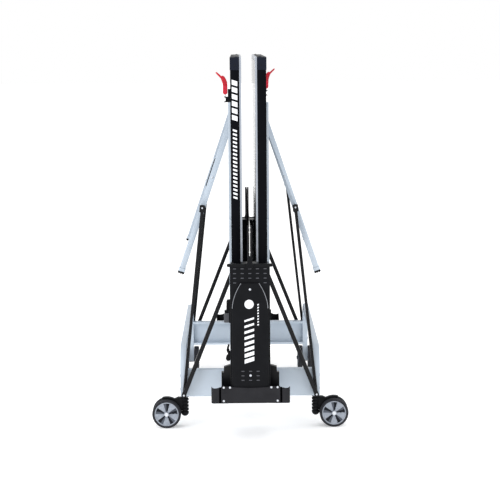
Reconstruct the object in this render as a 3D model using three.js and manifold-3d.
// A roll-away table-tennis table, folded for storage.
//
// Two table halves stand on end between two net columns and face each other across the net.
// Each half hangs on a roller shaft that climbs the columns while the half swings down flat.
// Support arms and leg struts, pivoted at the chassis corners, carry and steer the halves.
//
// Millimetres. X runs across the folded table, Y along the net, Z up. The origin is on the
// floor at the centre. Each half and each end is built once and turned about Z for its twin.

import * as THREE from 'three';
import Module from 'manifold-3d';
import { mergeVertices } from 'three/addons/utils/BufferGeometryUtils.js';

const wasm = await Module();
wasm.setup();

// ---------------------------------------------------------------- driving dimensions

const GAP = 0.3; // clearance between pieces that touch

// table halves
const TOP_LENGTH = 1370;
const TOP_WIDTH = 1525;
const PLAY_HEIGHT = 760;
const FOLDED_GAP = 58; // between the two playing faces
const FOLDED_LIFT = 232; // lower end of a folded half above the floor
const SHEET_THICKNESS = 8;
const APRON_DEPTH = 38;
const APRON_WALL = 20;
const HINGE_FROM_END = 45; // roller shaft, from the net end of a half
const HINGE_BELOW_FACE = 23; // roller shaft, below the playing face
const SHAFT_RADIUS = 8;

// chassis
const FRAME_X = 290; // side frame centre
const FRAME_Y = 600; // side frame post centre
const FRAME_TUBE = 25; // side frame tube width across X
const FRAME_TUBE_LENGTHWISE = 30; // side frame tube width along Y
const FRAME_TOP = 352;
const FRAME_BEND = 85;
const BEAM_LOW = 136;
const BEAM_HIGH = 254;
const BEAM_DEPTH = 40;
const BEAM_WALL = 4;
const BEAM_NOTCH_HALF = 88; // room for the lower ends of the folded halves
const BEAM_NOTCH_LOW = 222;

// wheels
const WHEEL_RADIUS = 62.5;
const WHEEL_WIDTH = 24;
const WHEEL_OFFSET = 26; // twin wheels, each side of the middle
const WHEEL_BORE = 6.3;
const AXLE_RADIUS = 6;
const CASTOR_X = 285;
const CASTOR_TRAIL = 79;
const HORN_TOP = 134;
const FRONT_POST_LOW = 136;
const REAR_POST_LOW = 50;

// net columns
const COLUMN_HALF = 80;
const COLUMN_LOW = 176;
const COLUMN_HIGH = 752;
const COLUMN_IN = 800; // inner face, from the centre
const COLUMN_OUT = 880; // outer face
const TRACK_HALF = 13;
const TRACK_DEPTH = 62;
const TRACK_LOW = 246;
const COVER_HALF = 83;
const COVER_OUT = 897;
const TRAY_HALF = 164;
const TRAY_LOW = 171;
const TRAY_HIGH = 240;
const NET_HEIGHT = 152.5;
const POST_IN = 870;
const POST_OUT = 900;
const CLAMP_HIGH = 786; // top of the clamp that holds the net's tension cord

// linkage, as seen on the right half when folded
const LOWER_PIVOT = new THREE.Vector2(287, 150); // arms and struts, at the chassis corner
const ARM_BELOW_FACE = 31; // arm's upper pivot
const ARM_WIDTH = 18;
const ARM_Y = [640, 658];
const STRUT_WIDTH = 13;
const STRUT_Y = [618, 630];
const LEG_LENGTH = 732;
const LEG_FOOT = new THREE.Vector2(297, 671); // foot of the folded leg
const LEG_LEAN = THREE.MathUtils.degToRad(18.7); // from upright when folded
const LEG_TUBE = 25;
const LEG_Y = [560, 585];
const STRUT_FROM_FOOT = 306; // strut's pivot, along the leg from its foot
const FOOT_HEIGHT = 26;
const HINGE_TUBE_RADIUS = 11;
const RAIL_Y = [700, 725]; // underframe rails
const RAIL_BACK = 33; // back of the rails, in a half's own frame
const RAIL_BACK_HIGH = 22; // back of the rails above the step
const RAIL_STEP = 1136;

// ---------------------------------------------------------------- places worked out from them

const HINGE_X = FOLDED_GAP / 2 + HINGE_BELOW_FACE;
const HINGE_Z = FOLDED_LIFT + HINGE_FROM_END;
const HINGE_Z_PLAY = PLAY_HEIGHT - HINGE_BELOW_FACE;
const FACE = -HINGE_BELOW_FACE; // playing face, in a half's own frame
const SHEET_BACK = FACE + SHEET_THICKNESS;
const APRON_BACK = SHEET_BACK + APRON_DEPTH;
const END_LOW = -HINGE_FROM_END; // net end, in a half's own frame
const END_HIGH = TOP_LENGTH - HINGE_FROM_END;
const HALF_WIDTH = TOP_WIDTH / 2;

// The arm is as long folded as in play, which settles its upper pivot along the half.
function armPivot() {
  const across = ARM_BELOW_FACE - HINGE_BELOW_FACE;
  const foldedX = LOWER_PIVOT.x - HINGE_X - across;
  const foldedZ = HINGE_Z - LOWER_PIVOT.y;
  const playX = HINGE_X - LOWER_PIVOT.x;
  const playZ = HINGE_Z_PLAY - across - LOWER_PIVOT.y;
  const along = (playX ** 2 + playZ ** 2 - foldedX ** 2 - foldedZ ** 2) / (2 * (foldedZ - playX));
  return new THREE.Vector2(HINGE_X + across, HINGE_Z + along);
}

const ARM_PIVOT = armPivot();
const LEG_DIRECTION = new THREE.Vector2(Math.sin(LEG_LEAN), -Math.cos(LEG_LEAN));
const LEG_PIVOT = LEG_FOOT.clone().addScaledVector(LEG_DIRECTION, -LEG_LENGTH);
const STRUT_PIVOT = LEG_FOOT.clone().addScaledVector(LEG_DIRECTION, -STRUT_FROM_FOOT);

// ---------------------------------------------------------------- finishes

function finish(color, roughness, metalness) {
  return new THREE.MeshStandardMaterial({ color, roughness, metalness });
}

const greyBlueCoat = finish('#b4c0cd', 0.45, 0.1);
const blackCoat = finish('#17191d', 0.45, 0.1);
const blackMoulding = finish('#232427', 0.6, 0);
const trayMoulding = finish('#343438', 0.6, 0);
const playingFace = finish('#3b4046', 0.5, 0);
const redMoulding = finish('#d71e32', 0.35, 0);
const tyreRubber = finish('#2b2c30', 0.85, 0);
const brightSteel = finish('#c9ccd0', 0.3, 0.9);
const netBlack = finish('#111214', 0.9, 0);
const whiteCord = finish('#e9e9e6', 0.8, 0);

// ---------------------------------------------------------------- shape helpers

function block(x0, x1, y0, y1, z0, z1) {
  const geometry = new THREE.BoxGeometry(x1 - x0, y1 - y0, z1 - z0);
  geometry.translate((x0 + x1) / 2, (y0 + y1) / 2, (z0 + z1) / 2);
  return geometry;
}

// A cylinder along Y, centred at x, z.
function barY(radius, y0, y1, x = 0, z = 0, sides = 20) {
  const geometry = new THREE.CylinderGeometry(radius, radius, y1 - y0, sides);
  geometry.translate(x, (y0 + y1) / 2, z);
  return geometry;
}

// A cylinder along X, centred at y, z.
function barX(radius, x0, x1, y = 0, z = 0, sides = 20) {
  const geometry = new THREE.CylinderGeometry(radius, radius, x1 - x0, sides);
  geometry.rotateZ(Math.PI / 2);
  geometry.translate((x0 + x1) / 2, y, z);
  return geometry;
}

function outline(points) {
  return new THREE.Shape(points.map(([a, b]) => new THREE.Vector2(a, b)));
}

function rectangle(a0, a1, b0, b1) {
  return outline([[a0, b0], [a1, b0], [a1, b1], [a0, b1]]);
}

// An outline drawn in X and Z, made y0 to y1 thick.
function plateXZ(shape, y0, y1, curveSegments = 8) {
  const geometry = new THREE.ExtrudeGeometry(shape, {
    depth: y1 - y0,
    bevelEnabled: false,
    curveSegments,
  });
  geometry.rotateX(Math.PI / 2);
  geometry.translate(0, y1, 0);
  return geometry;
}

// An outline drawn in Y and Z, made x0 to x1 thick.
function plateYZ(shape, x0, x1, curveSegments = 8) {
  const geometry = new THREE.ExtrudeGeometry(shape, {
    depth: x1 - x0,
    bevelEnabled: false,
    curveSegments,
  });
  const turn = new THREE.Matrix4().makeBasis(
    new THREE.Vector3(0, 1, 0),
    new THREE.Vector3(0, 0, 1),
    new THREE.Vector3(1, 0, 0),
  );
  geometry.applyMatrix4(turn);
  geometry.translate(x0, 0, 0);
  return geometry;
}

function toSolid(geometry) {
  const bare = geometry.clone();
  bare.deleteAttribute('normal');
  bare.deleteAttribute('uv');
  const welded = mergeVertices(bare, 1e-4);
  return new wasm.Manifold(new wasm.Mesh({
    numProp: 3,
    vertProperties: new Float32Array(welded.attributes.position.array),
    triVerts: new Uint32Array(welded.index.array),
  }));
}

function toGeometry(solid) {
  const mesh = solid.getMesh();
  const geometry = new THREE.BufferGeometry();
  geometry.setAttribute('position', new THREE.BufferAttribute(mesh.vertProperties, 3));
  geometry.setIndex(new THREE.BufferAttribute(mesh.triVerts, 1));
  geometry.computeVertexNormals();
  return geometry;
}

// Joins the first list of geometries and cuts the second list away.
function build(joined, cut = []) {
  let solid = toSolid(joined[0]);
  for (const geometry of joined.slice(1)) solid = solid.add(toSolid(geometry));
  for (const geometry of cut) solid = solid.subtract(toSolid(geometry));
  return toGeometry(solid);
}

function piece(name, geometry, material) {
  const mesh = new THREE.Mesh(geometry, material);
  mesh.name = name;
  return mesh;
}

// ---------------------------------------------------------------- chassis

// An upturned U of flat tube, with its rear post longer because it carries the fixed wheels.
function sideFrameGeometry() {
  const half = FRAME_TUBE_LENGTHWISE / 2;
  const outer = FRAME_Y + half;
  const inner = FRAME_Y - half;
  const innerBend = FRAME_BEND - FRAME_TUBE_LENGTHWISE;
  const shape = new THREE.Shape();
  shape.moveTo(-outer, FRONT_POST_LOW);
  shape.lineTo(-outer, FRAME_TOP - FRAME_BEND);
  shape.absarc(-outer + FRAME_BEND, FRAME_TOP - FRAME_BEND, FRAME_BEND, Math.PI, Math.PI / 2, true);
  shape.lineTo(outer - FRAME_BEND, FRAME_TOP);
  shape.absarc(outer - FRAME_BEND, FRAME_TOP - FRAME_BEND, FRAME_BEND, Math.PI / 2, 0, true);
  shape.lineTo(outer, REAR_POST_LOW);
  shape.lineTo(inner, REAR_POST_LOW);
  shape.lineTo(inner, FRAME_TOP - FRAME_BEND);
  shape.absarc(inner - innerBend, FRAME_TOP - FRAME_BEND, innerBend, 0, Math.PI / 2, false);
  shape.lineTo(-inner + innerBend, FRAME_TOP - FRAME_TUBE_LENGTHWISE);
  shape.absarc(-inner + innerBend, FRAME_TOP - FRAME_BEND, innerBend, Math.PI / 2, Math.PI, false);
  shape.lineTo(-inner, FRONT_POST_LOW);
  const tube = plateYZ(shape, -FRAME_TUBE / 2, FRAME_TUBE / 2);
  const bore = barX(WHEEL_BORE, -FRAME_TUBE, FRAME_TUBE, FRAME_Y, WHEEL_RADIUS);
  return build([tube], [bore]);
}

// A C channel between the side frames, open towards the middle of the table.
function crossBeamGeometry() {
  const half = FRAME_X - FRAME_TUBE / 2 - GAP;
  const face = -FRAME_Y - FRAME_TUBE_LENGTHWISE / 2;
  const channel = block(-half, half, face, face + BEAM_DEPTH, BEAM_LOW, BEAM_HIGH);
  const hollow = block(
    -half - 1,
    half + 1,
    face + BEAM_WALL,
    face + BEAM_DEPTH + 1,
    BEAM_LOW + BEAM_WALL,
    BEAM_HIGH - BEAM_WALL,
  );
  const notch = block(
    -BEAM_NOTCH_HALF,
    BEAM_NOTCH_HALF,
    face - 1,
    face + BEAM_DEPTH + 1,
    BEAM_NOTCH_LOW,
    BEAM_HIGH + 1,
  );
  return build([channel], [hollow, notch]);
}

function makeChassis() {
  const chassis = new THREE.Group();
  for (const [side, x] of [['left', -FRAME_X], ['right', FRAME_X]]) {
    const frame = piece(`side_frame_${side}`, sideFrameGeometry(), greyBlueCoat);
    frame.position.x = x;
    chassis.add(frame);
  }
  for (const [end, turn] of [['front', 0], ['rear', Math.PI]]) {
    const beam = piece(`cross_beam_${end}`, crossBeamGeometry(), greyBlueCoat);
    beam.rotation.z = turn;
    chassis.add(beam);
  }
  return chassis;
}

// ---------------------------------------------------------------- wheels

function wheelGeometry() {
  const half = WHEEL_WIDTH / 2;
  const profile = [
    [WHEEL_BORE, -half],
    [WHEEL_RADIUS - 4, -half],
    [WHEEL_RADIUS, -half + 4],
    [WHEEL_RADIUS, half - 4],
    [WHEEL_RADIUS - 4, half],
    [WHEEL_BORE, half],
    [WHEEL_BORE, -half],
  ];
  return new THREE.LatheGeometry(profile.map(([r, y]) => new THREE.Vector2(r, y)), 24);
}

// A plain axle along Y with a round head at each end, outside the twin wheels.
function axleGeometry() {
  const wheelFace = WHEEL_OFFSET + WHEEL_WIDTH / 2 + GAP;
  const head = wheelFace + 5;
  const profile = [
    [0, -head],
    [9, -head],
    [10, -wheelFace],
    [AXLE_RADIUS, -wheelFace],
    [AXLE_RADIUS, wheelFace],
    [10, wheelFace],
    [9, head],
    [0, head],
  ];
  return new THREE.LatheGeometry(profile.map(([r, y]) => new THREE.Vector2(r, y)), 20);
}

// The castor's moulded body: a ribbed swivel housing and a fender arm down to the axle.
function castorHornGeometry() {
  const bottom = 60;
  const radius = 17;
  const profile = [
    [0, bottom],
    [12, bottom + 2],
    [radius, bottom + 12],
    [radius, HORN_TOP],
    [0, HORN_TOP],
  ];
  const housing = new THREE.LatheGeometry(profile.map(([r, z]) => new THREE.Vector2(r, z)), 20);
  housing.rotateX(Math.PI / 2);
  const fenderRadius = WHEEL_RADIUS + 8;
  const arm = new THREE.Shape();
  arm.moveTo(5, 72);
  arm.lineTo(5, HORN_TOP - 2);
  arm.lineTo(30, HORN_TOP - 2);
  arm.absarc(CASTOR_TRAIL, WHEEL_RADIUS, fenderRadius, Math.PI * 0.66, Math.PI * 0.42, true);
  arm.absarc(CASTOR_TRAIL, WHEEL_RADIUS, WHEEL_RADIUS - 6, Math.PI * 0.45, Math.PI * 0.62, false);
  arm.absarc(CASTOR_TRAIL, WHEEL_RADIUS, 15, Math.PI * 0.5, Math.PI * 1.5, true);
  arm.lineTo(40, 54);
  const web = plateXZ(arm, -12, 12);
  const bore = barY(WHEEL_BORE, -20, 20, CASTOR_TRAIL, WHEEL_RADIUS);
  return build([housing, web], [bore]);
}

function makeFrontCastor(side, turn) {
  const castor = new THREE.Group();
  castor.add(piece(`castor_horn_${side}`, castorHornGeometry(), blackMoulding));
  const axle = piece(`castor_axle_${side}`, axleGeometry(), brightSteel);
  axle.position.set(CASTOR_TRAIL, 0, WHEEL_RADIUS);
  castor.add(axle);
  for (const direction of [-1, 1]) {
    const place = direction * Math.cos(turn) < 0 ? 'outer' : 'inner';
    const wheel = piece(`castor_wheel_${side}_${place}`, wheelGeometry(), tyreRubber);
    wheel.position.set(CASTOR_TRAIL, direction * WHEEL_OFFSET, WHEEL_RADIUS);
    castor.add(wheel);
  }
  castor.rotation.z = turn;
  castor.position.set(CASTOR_X * Math.cos(turn), -FRAME_Y, 0);
  return castor;
}

function makeRearWheels(side, x) {
  const wheels = new THREE.Group();
  const axle = piece(`rear_axle_${side}`, axleGeometry(), brightSteel);
  wheels.add(axle);
  for (const direction of [-1, 1]) {
    const place = direction * x > 0 ? 'outer' : 'inner';
    const wheel = piece(`rear_wheel_${side}_${place}`, wheelGeometry(), tyreRubber);
    wheel.position.y = -direction * WHEEL_OFFSET;
    wheels.add(wheel);
  }
  wheels.rotation.z = Math.PI / 2;
  wheels.position.set(x, FRAME_Y, WHEEL_RADIUS);
  return wheels;
}

// ---------------------------------------------------------------- net columns, at the front end

function columnCoreGeometry() {
  const core = block(-COLUMN_HALF, COLUMN_HALF, -COLUMN_OUT, -COLUMN_IN, COLUMN_LOW, COLUMN_HIGH);
  const tracks = [-HINGE_X, HINGE_X].map((x) => block(
    x - TRACK_HALF,
    x + TRACK_HALF,
    -COLUMN_IN - TRACK_DEPTH,
    -COLUMN_IN + 1,
    TRACK_LOW,
    COLUMN_HIGH + 1,
  ));
  return build([core], tracks);
}

// A moulded plate with a raised arch-topped panel and a rounded bar across its head.
function columnCoverGeometry() {
  const low = 243;
  const barLow = 742;
  const barHigh = 755;
  const barHalf = 95;
  const plate = plateXZ(
    rectangle(-COVER_HALF, COVER_HALF, low, barHigh - 3),
    -COVER_OUT,
    -COLUMN_OUT - GAP,
  );
  const bar = block(-barHalf, barHalf, -COVER_OUT - 3, -COLUMN_OUT - GAP, barLow, barHigh);
  const panel = new THREE.Shape();
  panel.moveTo(-76, low + 2);
  panel.lineTo(76, low + 2);
  panel.lineTo(76, 560);
  panel.bezierCurveTo(76, 600, 62, 645, 39, 677);
  panel.lineTo(-39, 677);
  panel.bezierCurveTo(-62, 645, -76, 600, -76, 560);
  return build([plate, bar, plateXZ(panel, -COVER_OUT - 9, -COVER_OUT + 1)]);
}

// A stepped bracket that carries the column and reaches back to the cross beam.
function shoulderBracketGeometry() {
  const plate = plateXZ(
    outline([
      [-122, COLUMN_LOW],
      [122, COLUMN_LOW],
      [122, 280],
      [112, 280],
      [112, 303],
      [83, 311],
      [72, 311],
      [72, 226],
      [-72, 226],
      [-72, 311],
      [-83, 311],
      [-112, 303],
      [-112, 280],
      [-122, 280],
    ]),
    -COLUMN_IN + GAP,
    -HALF_WIDTH - 6,
  );
  const beamFace = -FRAME_Y - FRAME_TUBE_LENGTHWISE / 2 - GAP;
  const reach = block(-100, 100, -HALF_WIDTH - 7, beamFace, 150, 214);
  const hollow = block(-90, 90, -HALF_WIDTH - 6, beamFace + 1, 149, 206);
  return build([plate, reach], [hollow]);
}

// Ball and bat pockets that wrap the foot of the column.
function holderTrayGeometry() {
  const front = -915 + 3;
  const back = -818;
  const wall = 4;
  const pocketIn = COLUMN_HALF + 1 + wall;
  const profile = new THREE.Shape();
  const wing = TRAY_HALF;
  profile.moveTo(-wing, TRAY_LOW);
  profile.lineTo(wing, TRAY_LOW);
  profile.lineTo(wing, TRAY_HIGH + 5);
  profile.lineTo(wing - 4, TRAY_HIGH + 5);
  profile.quadraticCurveTo(wing - 10, TRAY_HIGH - 8, wing - 42, TRAY_HIGH);
  profile.lineTo(-wing + 42, TRAY_HIGH);
  profile.quadraticCurveTo(-wing + 10, TRAY_HIGH - 8, -wing + 4, TRAY_HIGH + 5);
  profile.lineTo(-wing, TRAY_HIGH + 5);
  const body = plateXZ(profile, front, back, 4);
  const cuts = [
    block(-COLUMN_HALF - 1, COLUMN_HALF + 1, -COLUMN_OUT - GAP, back + 1, 0, 400),
    block(-pocketIn + wall - 1, pocketIn - wall + 1, -COVER_OUT - 12, back + 1, TRAY_HIGH, 400),
  ];
  for (const side of [-1, 1]) {
    const x0 = side < 0 ? -wing + wall : pocketIn;
    const x1 = side < 0 ? -pocketIn : wing - wall;
    cuts.push(block(x0, x1, front + wall, back - wall, TRAY_LOW + wall, 400));
  }
  return build([body], cuts);
}

// A blade with a drop-shaped clamp on its front.
function netPostGeometry() {
  const top = PLAY_HEIGHT + NET_HEIGHT;
  const foot = COLUMN_HIGH + 3 + GAP;
  const blade = plateXZ(
    outline([[-10, foot], [10, foot], [7, top - 6], [4, top], [-4, top], [-7, top - 6]]),
    -POST_OUT,
    -POST_IN,
  );
  const clamp = new THREE.Shape();
  clamp.moveTo(-5, CLAMP_HIGH);
  clamp.lineTo(5, CLAMP_HIGH);
  clamp.lineTo(14, 742);
  clamp.absarc(0, 742, 14, 0, Math.PI, true);
  const drop = plateXZ(clamp, -915, -POST_OUT - GAP);
  const neck = block(-4, 4, -POST_OUT - 1, -POST_OUT + 1, CLAMP_HIGH - 25, CLAMP_HIGH - 5);
  return build([blade, drop, neck]);
}

function makeColumn(end, turn) {
  const column = new THREE.Group();
  column.add(piece(`column_core_${end}`, columnCoreGeometry(), blackCoat));
  column.add(piece(`column_cover_${end}`, columnCoverGeometry(), blackMoulding));
  column.add(piece(`shoulder_bracket_${end}`, shoulderBracketGeometry(), blackCoat));
  column.add(piece(`holder_tray_${end}`, holderTrayGeometry(), trayMoulding));
  column.add(piece(`net_post_${end}`, netPostGeometry(), blackMoulding));
  column.rotation.z = turn;
  return column;
}

function makeNet() {
  const net = new THREE.Group();
  const half = POST_IN - 3;
  const top = PLAY_HEIGHT + NET_HEIGHT;
  net.add(piece('net', block(-1.5, 1.5, -half, half, PLAY_HEIGHT + 2, top - 5), netBlack));
  const cord = barY(1.8, -POST_OUT - 4, POST_OUT + 4, 0, top + 2.6, 8);
  const dropHigh = top + 3;
  const dropLow = CLAMP_HIGH + 3;
  const drops = [-1, 1].map((end) => {
    const drop = new THREE.CylinderGeometry(1.8, 1.8, dropHigh - dropLow, 8);
    drop.rotateX(Math.PI / 2);
    drop.translate(0, end * (POST_OUT + 3), (dropHigh + dropLow) / 2);
    return drop;
  });
  net.add(piece('net_cord', build([cord, ...drops]), whiteCord));
  return net;
}

// ---------------------------------------------------------------- one table half

// The half's rim with a step at its two baseline corners for the corner protectors.
const CORNER_WALL = 10;
const CORNER_DROP = 55;
const CORNER_REACH = 42;

function steppedRim() {
  const corner = [
    [HALF_WIDTH, END_HIGH - CORNER_DROP],
    [HALF_WIDTH - CORNER_WALL, END_HIGH - CORNER_DROP],
    [HALF_WIDTH - CORNER_WALL, END_HIGH - CORNER_WALL],
    [HALF_WIDTH - CORNER_REACH, END_HIGH - CORNER_WALL],
    [HALF_WIDTH - CORNER_REACH, END_HIGH],
  ];
  const mirrored = corner.map(([y, z]) => [-y, z]).reverse();
  return [[-HALF_WIDTH, END_LOW], [HALF_WIDTH, END_LOW], ...corner, ...mirrored];
}

function topSheetGeometry() {
  return plateYZ(rectangle(-HALF_WIDTH, HALF_WIDTH, END_LOW, END_HIGH), FACE, SHEET_BACK);
}

function apronGeometry() {
  const rim = outline(steppedRim());
  const inner = HALF_WIDTH - APRON_WALL;
  rim.holes.push(rectangle(-inner, inner, END_LOW + APRON_WALL, END_HIGH - APRON_WALL));
  const ring = plateYZ(rim, SHEET_BACK + GAP, APRON_BACK);
  const bore = barY(SHAFT_RADIUS + GAP, -HALF_WIDTH - 1, HALF_WIDTH + 1);
  return build([ring], [bore]);
}

// Two long rails and three rungs of flat tube that stiffen the sheet.
function underframeGeometry() {
  const [inner, outer] = RAIL_Y;
  const low = 24;
  const high = 1290;
  const reach = HALF_WIDTH - APRON_WALL - GAP;
  const rungs = [[low, low + 25, RAIL_BACK], [620, 645, RAIL_BACK], [high - 30, high, RAIL_BACK_HIGH]];
  const lengths = [[low, RAIL_STEP, RAIL_BACK], [low, high, RAIL_BACK_HIGH]];
  const rails = [-1, 1].flatMap((side) => lengths.map(([z0, z1, back]) => block(
    -7,
    back,
    Math.min(side * inner, side * outer),
    Math.max(side * inner, side * outer),
    z0,
    z1,
  )));
  const bars = rungs.map(([z0, z1, back]) => block(-7, back, -reach, reach, z0, z1));
  return build([...rails, ...bars]);
}

function cornerProtectorGeometry(side) {
  const inner = HALF_WIDTH - CORNER_WALL + GAP;
  const outer = HALF_WIDTH + 2;
  const low = END_HIGH - CORNER_DROP + GAP;
  const high = END_HIGH + 2;
  const bend = 10;
  const steps = [0, 1, 2, 3, 4];
  const rounded = steps.map((step) => {
    const angle = (step / (steps.length - 1)) * (Math.PI / 2);
    return [outer - bend + bend * Math.cos(angle), high - bend + bend * Math.sin(angle)];
  });
  const points = [
    [inner, low],
    [outer, low],
    ...rounded,
    [HALF_WIDTH - CORNER_REACH + GAP, high],
    [HALF_WIDTH - CORNER_REACH + GAP, END_HIGH - CORNER_WALL + GAP],
    [inner, END_HIGH - CORNER_WALL + GAP],
  ];
  const placed = points.map(([y, z]) => [side * y, z]);
  return plateYZ(outline(placed), SHEET_BACK + GAP, APRON_BACK + 1.5);
}

// The hinge shaft of a half, with a guide roller in each column's track.
function rollerShaftGeometry() {
  const shaftEnd = COLUMN_IN + 58;
  const rollerIn = COLUMN_IN + 12;
  const radius = TRACK_HALF - 1.5;
  const profile = [
    [0, -shaftEnd],
    [radius, -shaftEnd],
    [radius, -rollerIn],
    [SHAFT_RADIUS, -rollerIn],
    [SHAFT_RADIUS, rollerIn],
    [radius, rollerIn],
    [radius, shaftEnd],
    [0, shaftEnd],
  ];
  return new THREE.LatheGeometry(profile.map(([r, y]) => new THREE.Vector2(r, y)), 24);
}

// Ordered so that the lower number always comes first, whichever side of the middle it is.
function mirroredRange([inner, outer], side) {
  return side > 0 ? [inner, outer] : [-outer, -inner];
}

// A square tube with an eye at its lower end and a hinge boss that reaches the underframe rail.
function supportArmGeometry(side) {
  const length = ARM_PIVOT.distanceTo(LOWER_PIVOT);
  const half = ARM_WIDTH / 2;
  const [y0, y1] = mirroredRange(ARM_Y, side);
  const [boss0, boss1] = mirroredRange([ARM_Y[0], RAIL_Y[0] - GAP], side);
  return build([
    block(-half, half, y0, y1, -length, 0),
    barY(half + 2, y0, y1, 0, -length, 16),
    barY(HINGE_TUBE_RADIUS, boss0, boss1, 0, 0, 16),
  ]);
}

// A flat bar with an eye at its lower end and a hinge boss that reaches the leg.
function legStrutGeometry(side) {
  const length = STRUT_PIVOT.distanceTo(LOWER_PIVOT);
  const half = STRUT_WIDTH / 2;
  const [y0, y1] = mirroredRange(STRUT_Y, side);
  const [boss0, boss1] = mirroredRange([LEG_Y[1] + GAP, STRUT_Y[1]], side);
  return build([
    block(-half, half, y0, y1, -length, 0),
    barY(half + 3, y0, y1, 0, -length, 16),
    barY(half + 3, boss0, boss1, 0, 0, 16),
  ]);
}

// Two legs joined by the hinge tube at the top and a cross tube lower down.
function legFrameGeometry() {
  const half = LEG_TUBE / 2;
  const legs = [-1, 1].map((side) => {
    const [y0, y1] = mirroredRange(LEG_Y, side);
    return block(-half, half, y0, y1, -LEG_LENGTH + FOOT_HEIGHT, half);
  });
  const hinge = barY(HINGE_TUBE_RADIUS, -RAIL_Y[0] + GAP, RAIL_Y[0] - GAP, 0, 0, 16);
  const tie = barY(HINGE_TUBE_RADIUS, -LEG_Y[0] - 1, LEG_Y[0] + 1, 0, -300, 16);
  return build([...legs, hinge, tie]);
}

function legFootGeometry(side) {
  const half = LEG_TUBE / 2 + 2;
  const [y0, y1] = mirroredRange([LEG_Y[0] - 2, LEG_Y[1] + 2], side);
  return block(-half, half, y0, y1, -LEG_LENGTH, -LEG_LENGTH + FOOT_HEIGHT - GAP);
}

// The red pull lever that unlocks the half, drawn from its pivot.
const LEVER_PIVOT = new THREE.Vector2(46, 1170);
const LEVER_Y = [429, 451];
const LUG_HIGH = 1184; // lug behind the lever's pivot

function releaseLeverGeometry() {
  const radius = 10;
  const shape = new THREE.Shape();
  shape.moveTo(-radius, 0);
  shape.lineTo(-radius, 34);
  shape.quadraticCurveTo(-8, 50, 2, 71);
  shape.lineTo(19, 71);
  shape.lineTo(38, 88);
  shape.lineTo(42, 86);
  shape.lineTo(28, 67);
  shape.quadraticCurveTo(16, 48, radius, 28);
  shape.lineTo(radius, 0);
  shape.absarc(0, 0, radius, 0, Math.PI, true);
  return plateXZ(shape, LEVER_Y[0], LEVER_Y[1], 6);
}

function leverClampGeometry() {
  const back = RAIL_BACK + GAP;
  const low = 1126;
  const shape = outline([
    [SHEET_BACK + GAP, low],
    [back + 20, low],
    [back + 20, low + 6],
    [back + 11, low + 6],
    [back + 11, low + 20],
    [back + 20, low + 20],
    [back + 20, low + 26],
    [back + 1.4, low + 26],
    [back + 1.4, LUG_HIGH],
    [SHEET_BACK + GAP, LUG_HIGH],
  ]);
  return plateXZ(shape, LEVER_Y[0], LEVER_Y[1]);
}

function makeSwungGroup(pivot, lower) {
  const swung = new THREE.Group();
  swung.position.set(pivot.x, 0, pivot.y);
  swung.rotation.y = -Math.atan2(lower.x - pivot.x, pivot.y - lower.y);
  return swung;
}

function makeHalf(side, turn) {
  const half = new THREE.Group();
  const facing = Math.cos(turn);
  const endName = (direction) => (direction * facing < 0 ? 'front' : 'rear');

  const top = new THREE.Group();
  top.position.set(HINGE_X, 0, HINGE_Z);
  top.add(piece(`top_sheet_${side}`, topSheetGeometry(), playingFace));
  top.add(piece(`apron_${side}`, apronGeometry(), blackCoat));
  top.add(piece(`underframe_${side}`, underframeGeometry(), greyBlueCoat));
  top.add(piece(`roller_shaft_${side}`, rollerShaftGeometry(), brightSteel));
  top.add(piece(`lever_clamp_${side}`, leverClampGeometry(), blackMoulding));
  const lever = piece(`release_lever_${side}`, releaseLeverGeometry(), redMoulding);
  lever.position.set(LEVER_PIVOT.x, 0, LEVER_PIVOT.y);
  top.add(lever);
  half.add(top);

  const arms = makeSwungGroup(ARM_PIVOT, LOWER_PIVOT);
  const legs = makeSwungGroup(LEG_PIVOT, LEG_FOOT);
  const struts = makeSwungGroup(STRUT_PIVOT, LOWER_PIVOT);
  legs.add(piece(`leg_frame_${side}`, legFrameGeometry(), greyBlueCoat));
  for (const direction of [-1, 1]) {
    const tag = `${side}_${endName(direction)}`;
    top.add(piece(`corner_protector_${tag}`, cornerProtectorGeometry(direction), blackMoulding));
    arms.add(piece(`support_arm_${tag}`, supportArmGeometry(direction), blackCoat));
    legs.add(piece(`leg_foot_${tag}`, legFootGeometry(direction), blackMoulding));
    struts.add(piece(`leg_strut_${tag}`, legStrutGeometry(direction), blackCoat));
  }
  half.add(arms);
  half.add(legs);
  half.add(struts);
  half.rotation.z = turn;
  return half;
}

// ---------------------------------------------------------------- the whole table

const group = new THREE.Group();
group.add(makeChassis());
group.add(makeFrontCastor('left', Math.PI));
group.add(makeFrontCastor('right', 0));
group.add(makeRearWheels('left', -FRAME_X));
group.add(makeRearWheels('right', FRAME_X));
group.add(makeColumn('front', 0));
group.add(makeColumn('rear', Math.PI));
group.add(makeNet());
group.add(makeHalf('right', 0));
group.add(makeHalf('left', Math.PI));

export default group;
